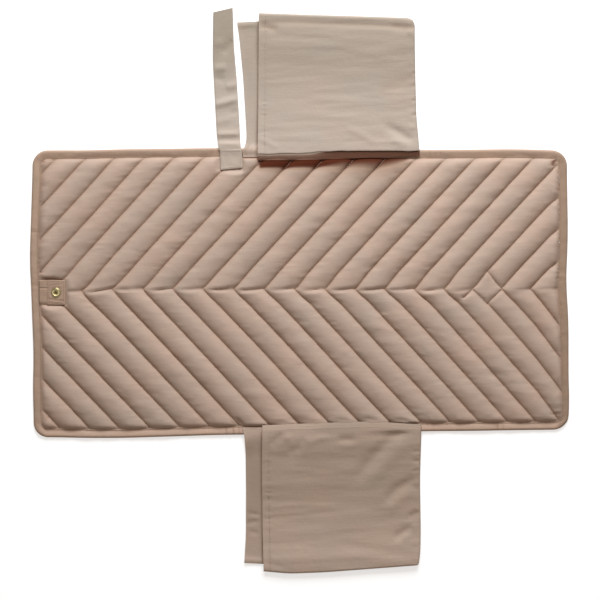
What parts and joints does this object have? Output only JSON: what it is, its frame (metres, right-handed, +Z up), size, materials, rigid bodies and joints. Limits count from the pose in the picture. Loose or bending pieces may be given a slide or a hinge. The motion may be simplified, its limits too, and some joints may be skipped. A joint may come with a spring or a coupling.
{
  "type": "folding changing mat",
  "caption": "Flat quilted cotton mat with bound edges that folds in three, with fold-out pockets along its long sides, a closing strap and a brass snap.",
  "frame": {"origin": "middle of the mat's underside, on the floor that it lies open on", "axes": "+X along the mat towards the short right panel, +Y across it towards the strap and the upper pocket, +Z up"},
  "size_m": [0.75, 0.7916, 0.008],
  "materials": {
    "quilt_cotton": "matte brushed cotton, chevron quilted",
    "back_cotton": "matte plain-weave cotton",
    "binding_cotton": "matte bias-cut cotton strip",
    "strap_cotton": "matte plain-weave cotton, doubled",
    "pocket_cotton": "matte plain-weave cotton, loose",
    "wadding": "soft fibre wadding",
    "brass": "polished"
  },
  "bodies": {
    "mat_centre": {"top_cover_centre": "quilt_cotton", "wadding_centre": "wadding", "back_cover_centre": "back_cotton", "edge_binding_top": "binding_cotton", "edge_binding_bottom": "binding_cotton"},
    "mat_left": {"top_cover_left": "quilt_cotton", "wadding_left": "wadding", "back_cover_left": "back_cotton", "edge_binding_left": "binding_cotton", "snap_patch": "strap_cotton", "snap_socket": "brass", "snap_washer": "brass", "strap_base": "strap_cotton"},
    "mat_right": {"top_cover_right": "quilt_cotton", "wadding_right": "wadding", "back_cover_right": "back_cotton", "edge_binding_right": "binding_cotton"},
    "upper_pocket": {"upper_pocket_back": "pocket_cotton", "upper_pocket_front": "pocket_cotton"},
    "lower_pocket": {"lower_pocket_back": "pocket_cotton", "lower_pocket_front": "pocket_cotton"},
    "strap": {"strap_lining": "strap_cotton", "strap_face": "strap_cotton", "strap_stud": "brass", "strap_washer": "brass"}
  },
  "joints": [
    {"name": "upper_pocket_fold", "type": "hinge", "parent": "mat_centre", "child": "upper_pocket", "pos_m": [0.045, 0.188, 0.0082], "axis": [1, 0, 0], "range_deg": [0, 179.9]},
    {"name": "lower_pocket_fold", "type": "hinge", "parent": "mat_centre", "child": "lower_pocket", "pos_m": [0.045, -0.188, 0.0082], "axis": [-1, 0, 0], "range_deg": [0, 176.5]},
    {"name": "right_fold", "type": "hinge", "parent": "mat_centre", "child": "mat_right", "pos_m": [0.17, 0, 0.0188], "axis": [0, -1, 0], "range_deg": [0, 179.9]},
    {"name": "left_fold", "type": "hinge", "parent": "mat_centre", "child": "mat_left", "pos_m": [-0.08, 0, 0.0233], "axis": [0, 1, 0], "range_deg": [0, 179.9]},
    {"name": "strap_fold", "type": "hinge", "parent": "mat_left", "child": "strap", "pos_m": [-0.097, 0.20045, 0.0068], "axis": [1, 0, 0], "range_deg": [0, 179.9]}
  ]
}
